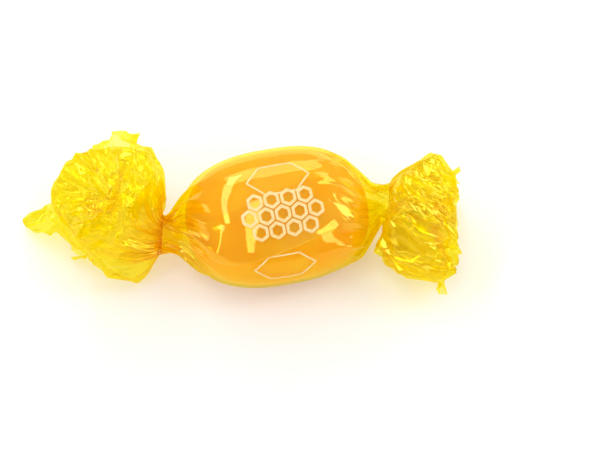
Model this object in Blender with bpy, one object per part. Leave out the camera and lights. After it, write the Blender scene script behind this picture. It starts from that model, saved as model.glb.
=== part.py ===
"""A filled hard candy in its clear twist wrap, lying on a table.

The candy is an oval boiled sweet. A rectangle of clear film is rolled round it into a tube, and each end
of the tube is twisted tight, so that a neck of pleats forms. The free film beyond the neck springs open
and is crushed into a puffed tail that turns up, with a thin ruffled edge, and with the side edge of the
sheet standing loose. Film and sweet are modelled as one closed solid.

X runs along the sweet from tail to tail, Y across it, Z up. The origin is on the table, under the middle
of the sweet. All sizes are in metres.
"""

import math

import bmesh
import bpy
import numpy as np

# The sweet with the film drawn over it
BODY_LENGTH = 0.0266
BODY_WIDTH = 0.0206
BODY_HEIGHT = 0.0158
BODY_FULLNESS = 2.5  # exponent of its outline: 2 is an ellipse, more is boxier
SEAM_STEP = 0.0002  # the free edge of the rolled film stands this much proud
SEAM_START, SEAM_END = 0.26, 0.405  # the double layer of film, as shares of a turn
SEAM_SKEW = -4.0  # turns per metre along the sweet, as the film is rolled a little askew
FLAT_SINK = 0.00025  # how far the round underside is pressed flat
AXIS_HEIGHT = BODY_HEIGHT / 2 - FLAT_SINK

# The tube of film, as pleated as it has to be to fit through the twist
NECK_RADIUS = 0.0026
NECK_LENGTH = 0.0020
NECK_WAIST = 0.12  # the twist is this share thinner at its middle
NECK_TURN = math.radians(75)  # from one side of the twist to the other
BODY_TURN, TAIL_TURN = 0.25, 0.25  # the shares of it that the body and the tail take up
PLEATS = 12
PLEAT_DEPTH = 0.0010
PLEAT_LEAST, PLEAT_SPREAD = 0.7, 0.6  # the height of the lowest pleat, and how much the highest adds
CONE_PLEATS = 2.2  # how much deeper the pleats are halfway up the cone of film

# Each tail: its neck, how far it turns up and which way, and the length and girth of its puff
LEFT = {
    "side": -1,
    "neck": 0.0149,
    "shift": (0.0004, 0.0),  # of the neck, in Y and Z
    "gather": 0.55,  # the share of the way to the neck at which the pleats start
    "bend": math.radians(50),
    "roll": math.radians(14),  # the way it bends, from +Y to +Z
    "bend_length": 0.0050,
    "length": 0.0130,
    "width": 0.0168,
    "height": 0.0166,
    "flare": 0.0088,  # the length over which the film springs open
    "closing": 0.66,  # the share of the length at which it starts to close again
    "back": 0.0,  # how far the puff bulges back over the neck
    "dish": 0.0036,  # how far its gathered end sinks in
    "tilt": 0.46,  # how much longer one side is than the middle, and which side
    "tilt_way": math.radians(119),
    "salt": 3,
    "corners": ((0.905, 0.0060), (0.30, 0.0014), (0.08, 0.0020)),  # turn and reach of each
    "overlap": (0.60, 0.86),  # turns between which the side of the sheet comes loose
    "free_lift": -0.0004,  # of the loose edge off the puff
    "free_flare": 0.78,  # how much sooner it springs open
    "free_short": 0.52,  # how much shorter it is
}
RIGHT = {
    "side": 1,
    "neck": 0.0144,
    "shift": (-0.0006, -0.0004),
    "gather": 0.30,
    "bend": math.radians(46),
    "roll": math.radians(176),
    "bend_length": 0.0050,
    "length": 0.0100,
    "width": 0.0164,
    "height": 0.0168,
    "flare": 0.0036,
    "closing": 0.60,
    "back": 0.0020,
    "dish": 0.0022,
    "tilt": -0.48,
    "tilt_way": math.radians(165),
    "salt": 8,
    "corners": ((0.93, 0.0026), (0.36, 0.0018), (0.62, 0.0020)),
    "overlap": (0.50, 0.70),
    "free_lift": 0.0008,
    "free_flare": 0.0,
    "free_short": 0.0,
}
BACK_WAY = math.radians(213)
DROOP = 0.12  # the puffs are this share fuller at the underside
END_CLOSING = 0.40
FLARE_EASE = 0.9  # under 1, the film springs open faster at first
PLEATS_LOST = 0.75  # the share of the pleats' depth that goes as the film springs open
FOLDS, FOLD_DEPTH = 5, 0.0012  # the broad folds that the pleats open into
DENTS, DENT_ROWS, CRUMPLE = 8, 2.6, 0.0016  # the facets of the crushed film
FACET_LIFT, FACET_TILT = 0.7, 0.7  # how much the facets differ in height and in slope
FACET_FALL = 0.6  # how fast a facet falls off away from its middle
FACET_MEAN = 0.4  # the mean height of the facets, which is taken off
CRUMPLE_SHARE = 0.7  # the share of the ridges' and the valleys' height that is kept
DISH_RIPPLE = 0.0009
DISH_FACETS = 1.2  # how much deeper the facets are in the gathered end
DISH_WAY = 0.8  # the way in to the middle of the gathered end, in lengths of the puff
DISH_STEEPNESS = 1.3  # over 1, the gathered end is flat round its middle
BULGE_END = 1.5  # where the bulge back over the neck ends, in lengths of the flare
BULGE_SIDE, BULGE_ROUND = 0.6, 0.4  # how much of it is on one side, and how much all round

# The loose film: a thin ruffle round the end of each puff, and the loose side of the sheet
SHEET_THICKNESS = 0.0005
SHEET_SINK = 0.0012  # how deep it is rooted in the puff
SHEET_LAP = 0.3  # how far before the end of the puff it is rooted, as a share of its length
SHEET_REACH = 0.965  # how far round the puff it goes, as a share of a turn
LOOSE_RATE = 1.6  # how fast its root runs back to the neck as it comes loose
LOOSE_EASE = 0.6  # under 1, it does so faster at first
LOOSE_SINK = 0.5  # the share of the root's depth that is lost where the sheet is loose
FREE_EASE = 1.5  # over 1, the sheet comes loose slowly at first
SKIRT_ROOT = 0.90
SKIRT_LENGTH = 0.0016  # the ruffle, between its corners
SKIRT_LEAST, SKIRT_SPREAD = 0.7, 0.6  # how much it varies, with this many waves round it
SKIRT_WAVES = 7
SKIRT_SHORTEST = 0.4
SKIRT_START = 0.0006
CORNER_SPREAD = 0.055  # half-width of a corner of the film, as a share of a turn
SKIRT_OPENING, SKIRT_FLUTTER, FLUTTERS = math.radians(58), math.radians(26), 8
RUFFLES, RUFFLE_DEPTH = 14, 0.0009
LEAST_CLEARANCE = 0.0012  # loose film nearer to the table than this bends to lie along it

SIDES = 72
BODY_RINGS = 15
NECK_RINGS = 3
PUFF_RINGS = 8
RING_CROWDING = 1.25  # over 1, the rings are closer together near the neck
DISH_RINGS = 5
SHEET_COLUMNS = 56
LOOSE_ROWS = 4
ROW_CROWDING = 1.5  # over 1, its rows are closer together near its root
SKIRT_ROWS = 3
SHARP_ANGLE = math.radians(40)


def chance(number, salt):
    """Fixed pseudo-random shares from 0 to 1."""
    return np.modf(np.abs(np.sin(number * 12.9898 + salt * 78.233)) * 43758.5453)[0]


def smooth(share):
    """An ease from 0 to 1."""
    share = np.clip(share, 0.0, 1.0)
    return share * share * (3 - 2 * share)


def pleat_wave(turn, count, salt):
    """A zigzag round the film, from -0.5 in a valley to 0.5 on a ridge, with uneven pleats."""
    place = (turn % 1.0) * count
    pleat = np.floor(place) % count
    share = place - np.floor(place)
    height = PLEAT_LEAST + PLEAT_SPREAD * chance(pleat, salt)
    return height * (1 - np.abs(2 * share - 1)) - 0.5


def facets(across, down, count, salt):
    """Height of a crushed sheet: flat facets, one to a cell. It repeats when across reaches count."""
    cell_x, cell_y = np.floor(across), np.floor(down)
    best = np.full(np.broadcast(across, down).shape, -9.0)
    for i in range(-2, 3):
        for k in range(-2, 3):
            seed = ((cell_x + i) % count) + 31 * (cell_y + k)
            dx = across - cell_x - i - chance(seed, salt)
            dy = down - cell_y - k - chance(seed, salt + 1)
            tilt_x = 2 * chance(seed, salt + 2) - 1
            tilt_y = 2 * chance(seed, salt + 3) - 1
            height = FACET_LIFT * chance(seed, salt + 4) + FACET_TILT * (tilt_x * dx + tilt_y * dy)
            best = np.maximum(best, height - FACET_FALL * (dx * dx + dy * dy))
    return best - FACET_MEAN


def crumple(across, down, count, salt):
    """A crushed sheet with both ridges and valleys."""
    return (facets(across, down, count, salt) - facets(across, down, count, salt + 7)) * CRUMPLE_SHARE


def body_share(x):
    """The sweet's half-width at x, as a share of its largest."""
    share = np.minimum(np.abs(x) / (BODY_LENGTH / 2), 1.0)
    return (1 - share**BODY_FULLNESS) ** (1 / BODY_FULLNESS)


def film_share(x, neck_x):
    """As body_share, for the film, which leaves the sweet at a tangent and runs straight to the neck."""
    neck_share = NECK_RADIUS / (BODY_WIDTH / 2)
    steps = neck_x * np.arange(400) / 400
    slopes = (body_share(steps) - neck_share) / (neck_x - steps)
    steepest = slopes.max()
    tangent = steps[slopes.argmax()]
    if abs(x) <= tangent:
        return body_share(x)
    return neck_share + steepest * (neck_x - abs(x))


def spine(tail, distance):
    """The middle of the tail at distances past the start of its twist, and the ways across it there."""
    steps = np.linspace(-0.006, 0.04, 500)
    angles = tail["bend"] * smooth(steps / tail["bend_length"])
    step = steps[1] - steps[0]
    run = np.cumsum(np.cos(angles)) * step
    rise = np.cumsum(np.sin(angles)) * step
    run -= np.interp(0, steps, run)
    rise -= np.interp(0, steps, rise)
    along = np.array([tail["side"], 0.0, 0.0])
    way = np.array([0, math.cos(tail["roll"]), math.sin(tail["roll"])])
    hinge = np.cross(along, way)
    shift_y, shift_z = tail["shift"]
    start = np.array([tail["side"] * tail["neck"], shift_y, AXIS_HEIGHT + shift_z])
    distance = np.asarray(distance, dtype=float)[..., None]
    centre = start + np.interp(distance, steps, run) * along + np.interp(distance, steps, rise) * way
    bend = tail["bend"] * smooth(distance / tail["bend_length"])

    def turned(vector):
        vector = np.array(vector, dtype=float)
        still = (vector @ hinge) * hinge
        return still + np.cos(bend) * (vector - still) + np.sin(bend) * np.cross(hinge, vector)

    return centre, turned((0, 1, 0)), turned((0, 0, 1)), turned(along)


def tail_ring(tail, distance, angle, half_width, half_height):
    """Points round the middle of a tail."""
    centre, across, up, _ = spine(tail, distance)
    wide = (half_width * np.cos(angle))[..., None]
    high = (half_height * np.sin(angle))[..., None]
    return centre + wide * across + high * up


def body_points(turn, x):
    """One ring of points round the wrapped sweet."""
    tail = LEFT if x < 0 else RIGHT
    share = film_share(x, tail["neck"])
    half_width = share * BODY_WIDTH / 2
    neck_share = NECK_RADIUS / (BODY_WIDTH / 2)
    roundness = 1 - (share - neck_share) / (1 - neck_share)
    half_height = half_width * (BODY_HEIGHT / BODY_WIDTH * (1 - roundness) + roundness)
    near_neck = smooth((abs(x) / tail["neck"] - tail["gather"]) / (1 - tail["gather"]))
    twisted = tail["side"] * NECK_TURN * BODY_TURN * near_neck**2
    skewed = 2 * math.pi * SEAM_SKEW * x * (1 - near_neck)
    deepened = 1 + CONE_PLEATS * near_neck * (1 - near_neck)
    out = near_neck * deepened * PLEAT_DEPTH * pleat_wave(turn, PLEATS, tail["salt"])
    doubled = (turn >= SEAM_START) & (turn < SEAM_END)
    out = out + np.where(doubled, SEAM_STEP, 0.0) * (1 - near_neck)
    angle = 2 * math.pi * turn + twisted + skewed
    shift_y, shift_z = tail["shift"]
    y = near_neck**2 * shift_y + (half_width + out) * np.cos(angle)
    z = AXIS_HEIGHT + near_neck**2 * shift_z + (half_height + out) * np.sin(angle)
    return np.stack([np.full(turn.shape, x), y, z], axis=-1)


def neck_points(tail, turn, share):
    """One ring of the twist, from the body at share 0 to the tail at share 1."""
    turned = tail["side"] * NECK_TURN * (BODY_TURN + (1 - BODY_TURN - TAIL_TURN) * share)
    radius = NECK_RADIUS * (1 - NECK_WAIST * math.sin(math.pi * share))
    radius = radius + PLEAT_DEPTH * pleat_wave(turn, PLEATS, tail["salt"])
    return tail_ring(tail, NECK_LENGTH * share, 2 * math.pi * turn + turned, radius, radius)


def free_share(tail, turn):
    """How loose the sheet is: 0 where it lies on the layer under it, 1 at its free side edge."""
    first, last = tail["overlap"]
    return smooth((turn - first) / (last - first)) ** FREE_EASE


def puff_share(tail, along, flared):
    """The half-width of the puff at a share of its length, as a share of its largest."""
    opened = np.minimum(flared, 1.0)
    neck_share = NECK_RADIUS / (tail["width"] / 2)
    rise = neck_share + (1 - neck_share) * np.sin(opened * math.pi / 2) ** FLARE_EASE
    closing = np.maximum(0.0, (along - tail["closing"]) / (1 - tail["closing"]))
    return rise * np.sqrt(1 - END_CLOSING * closing**2)


def puff_points(tail, turn, along, inward=0.0, free=0.0):
    """Points of the crumpled tail. inward goes from 0 at the rim of its end to 1 at the middle."""
    turn, along, inward, free = np.broadcast_arrays(turn, along, inward, free)
    flared = along * tail["length"] / (tail["flare"] * (1 - tail["free_flare"] * free))
    share = puff_share(tail, along, flared)
    opened = smooth(flared)
    salt = tail["salt"]
    angle = 2 * math.pi * turn + tail["side"] * NECK_TURN * (1 - TAIL_TURN + TAIL_TURN * opened)
    sheet_way = along + inward * DISH_WAY
    pleats = PLEAT_DEPTH * (1 - PLEATS_LOST * opened) * pleat_wave(turn, PLEATS, salt)
    folds = FOLD_DEPTH * opened * pleat_wave(turn, FOLDS, salt + 20)
    crushed = CRUMPLE * opened * crumple(turn * DENTS, sheet_way * DENT_ROWS, DENTS, salt + 40)
    out = (pleats + folds + crushed) * (1 - inward) + tail["free_lift"] * free * opened
    low_side = np.maximum(0.0, -np.sin(angle))
    half_width = share * tail["width"] / 2 * (1 - inward)
    half_height = share * tail["height"] / 2 * (1 - inward) * (1 + DROOP * low_side)
    ripple = DISH_RIPPLE * pleat_wave(turn, PLEATS, salt + 5) + DISH_FACETS * crushed
    slant = tail["tilt"] * np.cos(angle - tail["tilt_way"]) * opened * (1 - inward)
    bulge = BULGE_SIDE * np.cos(angle - BACK_WAY) + BULGE_ROUND
    bulge = np.sin(math.pi * np.minimum(flared / BULGE_END, 1)) * bulge
    distance = along * tail["length"] * (1 - slant) * (1 - tail["free_short"] * free)
    distance = distance - tail["back"] * bulge * (1 - inward)
    sunk = tail["dish"] * smooth(inward * DISH_STEEPNESS)
    distance = distance + ripple * np.sin(math.pi * inward) - sunk
    return tail_ring(tail, NECK_LENGTH + distance, angle, half_width + out, half_height + out)


def tail_rings(tail):
    """The rings of one side, from the neck outwards to the last ring of the dish, and the middle point."""
    turn = np.arange(SIDES) / SIDES
    rings = [neck_points(tail, turn, i / NECK_RINGS) for i in range(NECK_RINGS + 1)]
    for k in range(1, PUFF_RINGS + 1):
        rings.append(puff_points(tail, turn, (k / PUFF_RINGS) ** RING_CROWDING))
    for k in range(1, DISH_RINGS + 1):
        rings.append(puff_points(tail, turn, 1.0, k / (DISH_RINGS + 1)))
    return rings, puff_points(tail, np.zeros(1), 1.0, 1.0)[0]


def lift_off_table(points):
    """Presses what would be under the table flat against it."""
    points = points.copy()
    points[..., 2] = np.maximum(points[..., 2], 0.0)
    return points


def lift_gently(points):
    """Bends a thin sheet that would be under the table to lie just above it."""
    points = points.copy()
    low = np.minimum(points[..., 2], LEAST_CLEARANCE)
    bent = LEAST_CLEARANCE**2 / (2 * LEAST_CLEARANCE - low)
    points[..., 2] = np.where(points[..., 2] < LEAST_CLEARANCE, bent, points[..., 2])
    return points


def film_material(name, colour, roughness):
    """A glossy tinted material."""
    material = bpy.data.materials.new(name)
    material.use_nodes = True
    shader = material.node_tree.nodes["Principled BSDF"]
    shader.inputs["Base Color"].default_value = (*colour, 1)
    shader.inputs["Roughness"].default_value = roughness
    shader.inputs["Metallic"].default_value = 0
    return material


def add_object(name, mesh_builder, collection):
    """A new mesh object from a filled bmesh."""
    bmesh.ops.recalc_face_normals(mesh_builder, faces=mesh_builder.faces)
    mesh = bpy.data.meshes.new(name)
    mesh_builder.to_mesh(mesh)
    mesh_builder.free()
    result = bpy.data.objects.new(name, mesh)
    collection.objects.link(result)
    return result


def wrapped_body(name, collection):
    """The sweet, both necks and both puffs as one closed surface of rings."""
    left_rings, left_end = tail_rings(LEFT)
    right_rings, right_end = tail_rings(RIGHT)
    turn = np.arange(SIDES) / SIDES
    middle = []
    for i in range(1, BODY_RINGS + 1):
        share = 2 * i / (BODY_RINGS + 1) - 1
        eased = math.sin(share * math.pi / 2)
        middle.append(body_points(turn, eased * (LEFT if share < 0 else RIGHT)["neck"]))
    builder = bmesh.new()
    rings = []
    for ring in left_rings[::-1] + middle + right_rings:
        rings.append([builder.verts.new(p) for p in lift_off_table(ring)])
    for first, second in zip(rings, rings[1:]):
        for i in range(SIDES):
            j = (i + 1) % SIDES
            builder.faces.new((first[i], first[j], second[j], second[i]))
    for ring, end in ((rings[0], left_end), (rings[-1], right_end)):
        tip = builder.verts.new(lift_off_table(end))
        for i in range(SIDES):
            builder.faces.new((ring[i], ring[(i + 1) % SIDES], tip))
    return add_object(name, builder, collection)


def skirt_length(tail, turn):
    """How far the thin edge of film stands out at a share of a turn: short, with longer corners."""
    wave = pleat_wave(turn, SKIRT_WAVES, tail["salt"] + 11)
    longest = SKIRT_LENGTH * (SKIRT_LEAST + SKIRT_SPREAD * wave)
    for place, reach in tail["corners"]:
        apart = np.abs((turn - place + 0.5) % 1.0 - 0.5)
        longest = np.maximum(longest, reach * (1 - apart / (2 * CORNER_SPREAD)))
    return np.maximum(longest, SKIRT_LENGTH * SKIRT_SHORTEST)


def skirt_points(tail, turn, out):
    """The ruffle: out is 0 at its root and 1 at its edge."""
    turn, out = np.broadcast_arrays(turn, out)
    root = puff_points(tail, turn, SKIRT_ROOT, free=free_share(tail, turn))
    centre, _, _, axial = spine(tail, NECK_LENGTH + SKIRT_ROOT * tail["length"])
    radial = root - centre
    radial -= (radial @ axial)[..., None] * axial
    radial /= np.linalg.norm(radial, axis=-1, keepdims=True)
    flutter = SKIRT_FLUTTER * pleat_wave(turn, FLUTTERS, tail["salt"] + 13)
    opening = (SKIRT_OPENING + flutter)[..., None]
    along = axial * np.cos(opening) + radial * np.sin(opening)
    outward = radial * np.cos(opening) - axial * np.sin(opening)
    reach = ((SKIRT_START + skirt_length(tail, turn)) * out)[..., None]
    wave = RUFFLE_DEPTH * pleat_wave(turn, RUFFLES, tail["salt"] + 17) * out
    return root + along * reach + outward * wave[..., None]


def loose_grid(tail):
    """The middle surface of the loose film: rows from its root in the puff out to its edge."""
    last = tail["overlap"][1]
    turn = np.linspace(last - SHEET_REACH, last, SHEET_COLUMNS)[None, :]
    free = free_share(tail, turn)
    loosened = np.minimum(1.0, LOOSE_RATE * free**LOOSE_EASE)
    start = (SKIRT_ROOT - SHEET_LAP) * (1 - loosened)
    share = np.linspace(0, 1, LOOSE_ROWS + 1)[:-1, None] ** ROW_CROWDING
    walls = puff_points(tail, turn, start + (SKIRT_ROOT - start) * share, free=free)
    centre = spine(tail, np.full(turn.shape, NECK_LENGTH))[0]
    inward = centre[0] - walls[0]
    inward /= np.linalg.norm(inward, axis=-1, keepdims=True)
    walls[0] += inward * SHEET_SINK * (1 - LOOSE_SINK * loosened[0])[..., None]
    skirt = skirt_points(tail, turn, np.linspace(0, 1, SKIRT_ROWS + 1)[:, None])
    return np.concatenate([walls, skirt])


def loose_film(name, tail, collection):
    """The loose film of one tail, a thin closed slab."""
    grid = loose_grid(tail)
    down, across = np.gradient(grid, axis=0), np.gradient(grid, axis=1)
    normal = np.cross(down, across)
    normal /= np.linalg.norm(normal, axis=-1, keepdims=True)
    builder = bmesh.new()
    faces = []
    for way in (-1, 1):
        points = lift_gently(grid + normal * way * SHEET_THICKNESS / 2)
        faces.append([[builder.verts.new(p) for p in row] for row in points])
    rows, columns = grid.shape[:2]
    for verts in faces:
        for i in range(rows - 1):
            for k in range(columns - 1):
                builder.faces.new((verts[i][k], verts[i][k + 1], verts[i + 1][k + 1], verts[i + 1][k]))
    border = [(0, k) for k in range(columns)]
    border += [(i, columns - 1) for i in range(1, rows)]
    border += [(rows - 1, k) for k in range(columns - 2, -1, -1)]
    border += [(i, 0) for i in range(rows - 2, 0, -1)]
    under, over = faces
    for (i, k), (m, n) in zip(border, border[1:] + border[:1]):
        builder.faces.new((under[i][k], under[m][n], over[m][n], over[i][k]))
    return add_object(name, builder, collection)


def fill_pockets(mesh):
    """Removes the inner walls of pockets that are shut in between the loose film and the puffs."""
    builder = bmesh.new()
    builder.from_mesh(mesh)
    left = set(builder.faces)
    shells = []
    while left:
        shell = [left.pop()]
        for face in shell:
            for edge in face.edges:
                for other in edge.link_faces:
                    if other in left:
                        left.remove(other)
                        shell.append(other)
        shells.append(shell)
    shells.sort(key=len)
    for shell in shells[:-1]:
        bmesh.ops.delete(builder, geom=shell, context="FACES")
    builder.to_mesh(mesh)
    builder.free()


def paint(target):
    """Orange where the sweet shows through the film, yellow on the tails."""
    target.data.materials.clear()
    target.data.materials.append(film_material("film_over_sweet", (0.93, 0.40, 0.02), 0.18))
    target.data.materials.append(film_material("yellow_film", (0.95, 0.72, 0.02), 0.15))
    for face in target.data.polygons:
        x = face.center.x
        in_tail = x < -LEFT["neck"] or x > RIGHT["neck"]
        face.material_index = 1 if in_tail else 0


def main():
    for old in list(bpy.data.objects):
        bpy.data.objects.remove(old)
    scene_collection = bpy.context.scene.collection
    parts = bpy.data.collections.new("loose_film")
    scene_collection.children.link(parts)

    candy = wrapped_body("wrapped_candy", scene_collection)
    loose_film("left_loose_film", LEFT, parts)
    loose_film("right_loose_film", RIGHT, parts)
    join = candy.modifiers.new("join_film", "BOOLEAN")
    join.operation = "UNION"
    join.operand_type = "COLLECTION"
    join.collection = parts
    join.solver = "EXACT"
    bpy.context.view_layer.update()
    graph = bpy.context.evaluated_depsgraph_get()
    joined = bpy.data.meshes.new_from_object(candy.evaluated_get(graph))
    candy.modifiers.clear()
    fill_pockets(joined)
    candy.data = joined
    for old in list(parts.objects):
        bpy.data.objects.remove(old)
    bpy.data.collections.remove(parts)

    paint(candy)
    candy.data.shade_smooth()
    candy.data.set_sharp_from_angle(angle=SHARP_ANGLE)


main()
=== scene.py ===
"""The looks of a filled boiled sweet in a clear yellow twist wrap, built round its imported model."""

import math

import bmesh
import bpy
import numpy as np
from mathutils import Matrix, Vector


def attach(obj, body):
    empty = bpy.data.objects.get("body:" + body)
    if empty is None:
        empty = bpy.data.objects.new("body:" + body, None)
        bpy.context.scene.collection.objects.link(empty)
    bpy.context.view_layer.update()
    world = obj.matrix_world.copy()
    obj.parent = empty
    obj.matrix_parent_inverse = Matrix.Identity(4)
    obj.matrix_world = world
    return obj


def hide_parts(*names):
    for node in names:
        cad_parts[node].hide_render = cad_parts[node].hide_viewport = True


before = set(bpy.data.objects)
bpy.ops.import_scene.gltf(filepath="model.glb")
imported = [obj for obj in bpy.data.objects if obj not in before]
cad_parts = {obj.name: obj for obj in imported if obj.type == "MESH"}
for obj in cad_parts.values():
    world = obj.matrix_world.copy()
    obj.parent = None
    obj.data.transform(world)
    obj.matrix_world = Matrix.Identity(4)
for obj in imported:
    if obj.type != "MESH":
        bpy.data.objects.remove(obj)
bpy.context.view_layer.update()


# --------------------------------------
# The sweet: boiled sugar, cast oval, with its filling sealed inside.
# It is glossy and lets light a few millimetres in, so it glows amber. Nothing fixes it but the film.
# --------------------------------------
BODY_LENGTH, BODY_WIDTH, BODY_HEIGHT = 0.0266, 0.0206, 0.0158
BODY_FULLNESS = 2.5  # exponent of its outline: 2 is an ellipse, more is boxier
FLAT_SINK = 0.00025  # how far the wrapped underside is pressed flat
AXIS_HEIGHT = BODY_HEIGHT / 2 - FLAT_SINK
FILM_ROOM = 0.00025  # from the sweet's surface out to the film's mean surface
SWEET_CUTS = 47  # across each side of the cube that it is blown up from


def sweet_mesh():
    """An even cube of quads, blown up to the oval."""
    builder = bmesh.new()
    bmesh.ops.create_cube(builder, size=2.0)
    bmesh.ops.subdivide_edges(builder, edges=builder.edges, cuts=SWEET_CUTS, use_grid_fill=True)
    half = Vector((BODY_LENGTH, BODY_WIDTH, BODY_HEIGHT)) / 2 - Vector((1, 1, 1)) * FILM_ROOM
    for vert in builder.verts:
        way = Vector([math.tan(c * math.pi / 4) for c in vert.co]).normalized()
        across = math.hypot(way.y / half.y, way.z / half.z)
        size = (abs(way.x) / half.x) ** BODY_FULLNESS + across**BODY_FULLNESS
        vert.co = way * size ** (-1 / BODY_FULLNESS)
        vert.co.z = max(vert.co.z + AXIS_HEIGHT, FILM_ROOM)
    bmesh.ops.recalc_face_normals(builder, faces=builder.faces)
    mesh = bpy.data.meshes.new("hard_candy")
    builder.to_mesh(mesh)
    builder.free()
    mesh.shade_smooth()
    return mesh


def material_tree(name):
    """A new material: (material, its tree, its Principled shader, its output)."""
    material = bpy.data.materials.new(name)
    material.use_nodes = True
    tree = material.node_tree
    return material, tree, tree.nodes["Principled BSDF"], tree.nodes["Material Output"]


def set_inputs(tree, node, inputs):
    """Sets some inputs of a node, or links sockets to them."""
    for key, value in inputs.items():
        if isinstance(value, bpy.types.NodeSocket):
            tree.links.new(value, node.inputs[key])
        else:
            node.inputs[key].default_value = value


def add_node(tree, kind, inputs=None, **settings):
    """A new node with some inputs set or linked, and its other settings."""
    node = tree.nodes.new(kind)
    for key, value in settings.items():
        setattr(node, key, value)
    set_inputs(tree, node, inputs or {})
    return node


def reckon(tree, operation, *values, **settings):
    """The result of a sum on values or sockets, from a Math node."""
    inputs = dict(enumerate(values))
    return add_node(tree, "ShaderNodeMath", inputs, operation=operation, **settings).outputs[0]


def reckon_vector(tree, operation, *values):
    """As reckon, for vectors."""
    return add_node(tree, "ShaderNodeVectorMath", dict(enumerate(values)), operation=operation).outputs[0]


def fade(tree, value, start, end, first, last, **settings):
    """A value that goes from first to last as another goes from start to end."""
    inputs = {"Value": value, 1: start, 2: end, 3: first, 4: last}
    return add_node(tree, "ShaderNodeMapRange", inputs, **settings).outputs[0]


def mottle(tree, place, scale, *stops):
    """A colour that drifts between two stops, each a level of noise and the colour at it."""
    noise = add_node(tree, "ShaderNodeTexNoise", {"Vector": place, "Scale": scale, "Detail": 2})
    tint = add_node(tree, "ShaderNodeValToRGB", {"Fac": noise.outputs["Fac"]})
    for element, (level, colour) in zip(tint.color_ramp.elements, stops):
        element.position = level
        element.color = colour
    return tint.outputs["Color"]


def boiled_sugar():
    """Amber sugar, with the cloudiness of its filling and a few dimples in the gloss."""
    material, tree, shader, _ = material_tree("boiled_sugar")
    place = add_node(tree, "ShaderNodeTexCoord").outputs["Object"]
    dimples = add_node(tree, "ShaderNodeTexNoise", {"Vector": place, "Scale": 520, "Detail": 3})
    bumps = {"Height": dimples.outputs["Fac"], "Strength": 0.35, "Distance": 0.00012}
    dark, light = (0.3, (0.93, 0.385, 0.003, 1)), (0.75, (0.95, 0.50, 0.006, 1))
    looks = {
        "Base Color": mottle(tree, place, 160, dark, light),
        "Subsurface Weight": 0.85,
        "Subsurface Radius": (1.0, 0.42, 0.06),
        "Subsurface Scale": 0.0032,
        "Roughness": 0.30,
        "Specular IOR Level": 0.3,
        "Normal": add_node(tree, "ShaderNodeBump", bumps).outputs["Normal"],
    }
    set_inputs(tree, shader, looks)
    return material


def new_object(name, data):
    """A new object in the scene."""
    thing = bpy.data.objects.new(name, data)
    bpy.context.scene.collection.objects.link(thing)
    return thing


def add_piece(name, mesh, material):
    """Adds a finished piece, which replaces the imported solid."""
    piece = new_object(name, mesh)
    mesh.materials.clear()
    mesh.materials.append(material)
    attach(piece, "root")
    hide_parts("wrapped_candy")


add_piece("hard_candy", sweet_mesh(), boiled_sugar())


# --------------------------------------
# The film round the sweet: one sheet of clear yellow cellulose, rolled round it with an overlap.
# It touches the sweet only in places, gathers into pleats towards each end, and is twisted tight there.
# --------------------------------------
SEAM_START, SEAM_END = 0.26, 0.405  # the double layer, as shares of a turn
SEAM_STEP = 0.0002
SEAM_SKEW = -4.0  # turns per metre along the sweet
FILM_THICKNESS = 0.00005
FILM_GIRTH = 0.058  # once round the sheet where it isn't gathered
NECK_RADIUS, NECK_LENGTH = 0.0026, 0.0020
NECK_SHARE = NECK_RADIUS / (BODY_WIDTH / 2)
NECK_WAIST = 0.12  # the twist is this share thinner at its middle
NECK_TURN = math.radians(75)  # from one side of the twist to the other
BODY_TURN, TAIL_TURN = 0.25, 0.25  # the shares of it that the body and the tail take up
PLEATS, PLEAT_DEPTH = 12, 0.0010
PLEAT_LEAST, PLEAT_SPREAD = 0.7, 0.6  # the height of the lowest pleat, and how much the highest adds
CONE_PLEATS = 2.2  # how much deeper the pleats are halfway up the cone of film
FINE_PLEATS, FINE_DEPTH = 43, 0.00035
CREASES = (  # ridges of the film: turns where each starts and ends, and x there, half-width, height
    (0.30, 0.47, -0.0088, -0.0113, 0.0007, 0.00018),
    (0.30, 0.42, 0.0060, 0.0100, 0.0010, 0.00025),
    (0.86, 1.06, 0.0026, 0.0086, 0.0011, 0.00026),
    (0.80, 1.03, -0.0098, -0.0048, 0.0010, 0.00024),
    (0.90, 1.00, 0.0070, 0.0018, 0.0008, 0.00016),
    (0.211, 0.234, 0.0066, 0.0112, 0.0005, 0.00018),
    (0.166, 0.187, 0.0096, 0.0136, 0.0008, 0.00030),
    (0.300, 0.296, 0.0078, 0.0127, 0.0005, 0.00030),
    (0.291, 0.288, 0.0046, 0.0094, 0.0008, 0.00018),
    (0.409, 0.487, 0.0100, 0.0086, 0.0006, 0.00030),
)
WRINKLES = (  # depth, how many round and to the metre along, salt, share lost at the necks
    (0.00005, 7, 150, 90, 1.0),
    (0.00002, 21, 380, 95, 0.5),
)
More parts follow.
